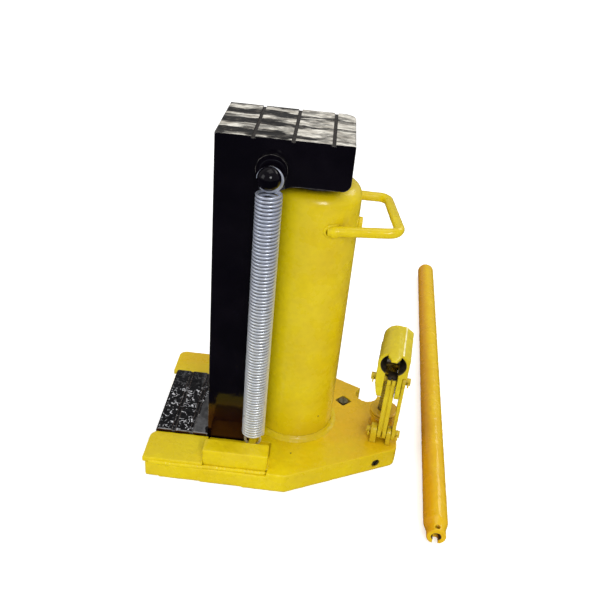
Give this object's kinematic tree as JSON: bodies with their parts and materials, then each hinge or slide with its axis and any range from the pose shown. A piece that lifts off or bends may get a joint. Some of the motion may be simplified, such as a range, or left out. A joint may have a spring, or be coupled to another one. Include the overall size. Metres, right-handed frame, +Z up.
{
  "type": "toe jack",
  "caption": "Hydraulic toe jack: a ram lifts a head, arm and low toe in one piece, with two return springs, a hand pump with a lever socket, a carrying handle and a loose lever.",
  "frame": {"origin": "on the floor, on the axis of the lifting ram", "axes": "+Z up along the ram, +X towards the hand pump, -X towards the toe, -Y the side of the release valve and of the socket's mouth"},
  "size_m": [0.3602, 0.5668, 0.368],
  "materials": {
    "yellow_enamel": "gloss enamel, slightly uneven over welds",
    "socket_enamel": "gloss enamel, thick and pooled",
    "lever_enamel": "gloss enamel, handled",
    "black_enamel": "high gloss black enamel, worn edges",
    "zinc_spring": "bright zinc plated wire",
    "bright_steel": "turned steel",
    "honed_steel": "hard chromed and honed",
    "oily_steel": "oiled machined steel",
    "seal_rubber": "nitrile rubber"
  },
  "bodies": {
    "jack_body": {"base_plate": "yellow_enamel", "fork_cap_near": "yellow_enamel", "fork_cap_far": "yellow_enamel", "guide_block_near": "yellow_enamel", "guide_block_far": "yellow_enamel", "gallery_stopper": "bright_steel", "check_ball": "bright_steel", "check_spring": "bright_steel", "oil_plug": "bright_steel", "release_ball": "bright_steel", "jacket_tube": "yellow_enamel", "jacket_weld": "yellow_enamel", "pressure_barrel": "oily_steel", "cylinder_gland": "oily_steel", "rod_seal": "seal_rubber", "wiper_ring": "seal_rubber", "return_spring_near": "zinc_spring", "return_spring_far": "zinc_spring", "spring_anchor_near": "yellow_enamel", "spring_anchor_far": "yellow_enamel", "carry_handle": "yellow_enamel", "filler_plug": "yellow_enamel", "pump_barrel": "socket_enamel", "pump_packing": "seal_rubber", "pump_gland_nut": "socket_enamel", "link_lug_left": "yellow_enamel", "link_lug_right": "yellow_enamel", "lower_link_pin": "socket_enamel", "lower_link_pin_cotters": "socket_enamel"},
    "carriage": {"lift_carriage": "black_enamel", "lifting_ram": "honed_steel", "piston": "oily_steel", "piston_seal": "seal_rubber", "spring_stud_near": "black_enamel", "spring_stud_far": "black_enamel"},
    "fulcrum_link": {"fulcrum_link": "socket_enamel", "link_strap": "socket_enamel"},
    "handle_socket": {"lever_socket": "socket_enamel", "fulcrum_pin": "socket_enamel", "fulcrum_pin_cotters": "socket_enamel"},
    "pump_plunger": {"pump_plunger": "honed_steel", "plunger_pin": "socket_enamel", "plunger_pin_clips": "socket_enamel"},
    "release_valve": {"release_valve": "bright_steel"},
    "pump_lever": {"pump_lever": "lever_enamel"}
  },
  "joints": [
    {"name": "lift", "type": "slide", "parent": "jack_body", "child": "carriage", "axis": [0, 0, 1], "range_m": [0, 0.205], "stiffness_N_per_m": 900, "springref_m": -0.06, "deforming": ["return_spring_near", "return_spring_far"]},
    {"name": "link_swing", "type": "hinge", "parent": "jack_body", "child": "fulcrum_link", "pos_m": [0.10014, -0.02776, 0.0365], "axis": [0.9914, -0.1305, 0], "range_deg": [-2, 2]},
    {"name": "socket_pivot", "type": "hinge", "parent": "fulcrum_link", "child": "handle_socket", "pos_m": [0.10014, -0.02776, 0.111], "axis": [0.9914, -0.1305, 0], "range_deg": [-25, 20]},
    {"name": "plunger_stroke", "type": "slide", "parent": "jack_body", "child": "pump_plunger", "axis": [0, 0, 1], "range_m": [-0.0135, 0.0135]},
    {"name": "valve_turn", "type": "hinge", "parent": "jack_body", "child": "release_valve", "pos_m": [0.098, -0.052, 0.009], "axis": [0.4472, -0.8944, 0], "range_deg": [0, 360]},
    {"name": "lever_lift", "type": "slide", "parent": "jack_body", "child": "pump_lever", "axis": [0, 0, 1], "range_m": [0, 0.25]}
  ],
  "couplings": [
    {"joint": "link_swing", "follows": "socket_pivot", "ratio": -0.035},
    {"joint": "plunger_stroke", "follows": "socket_pivot", "m_per_rad": 0.0284}
  ]
}
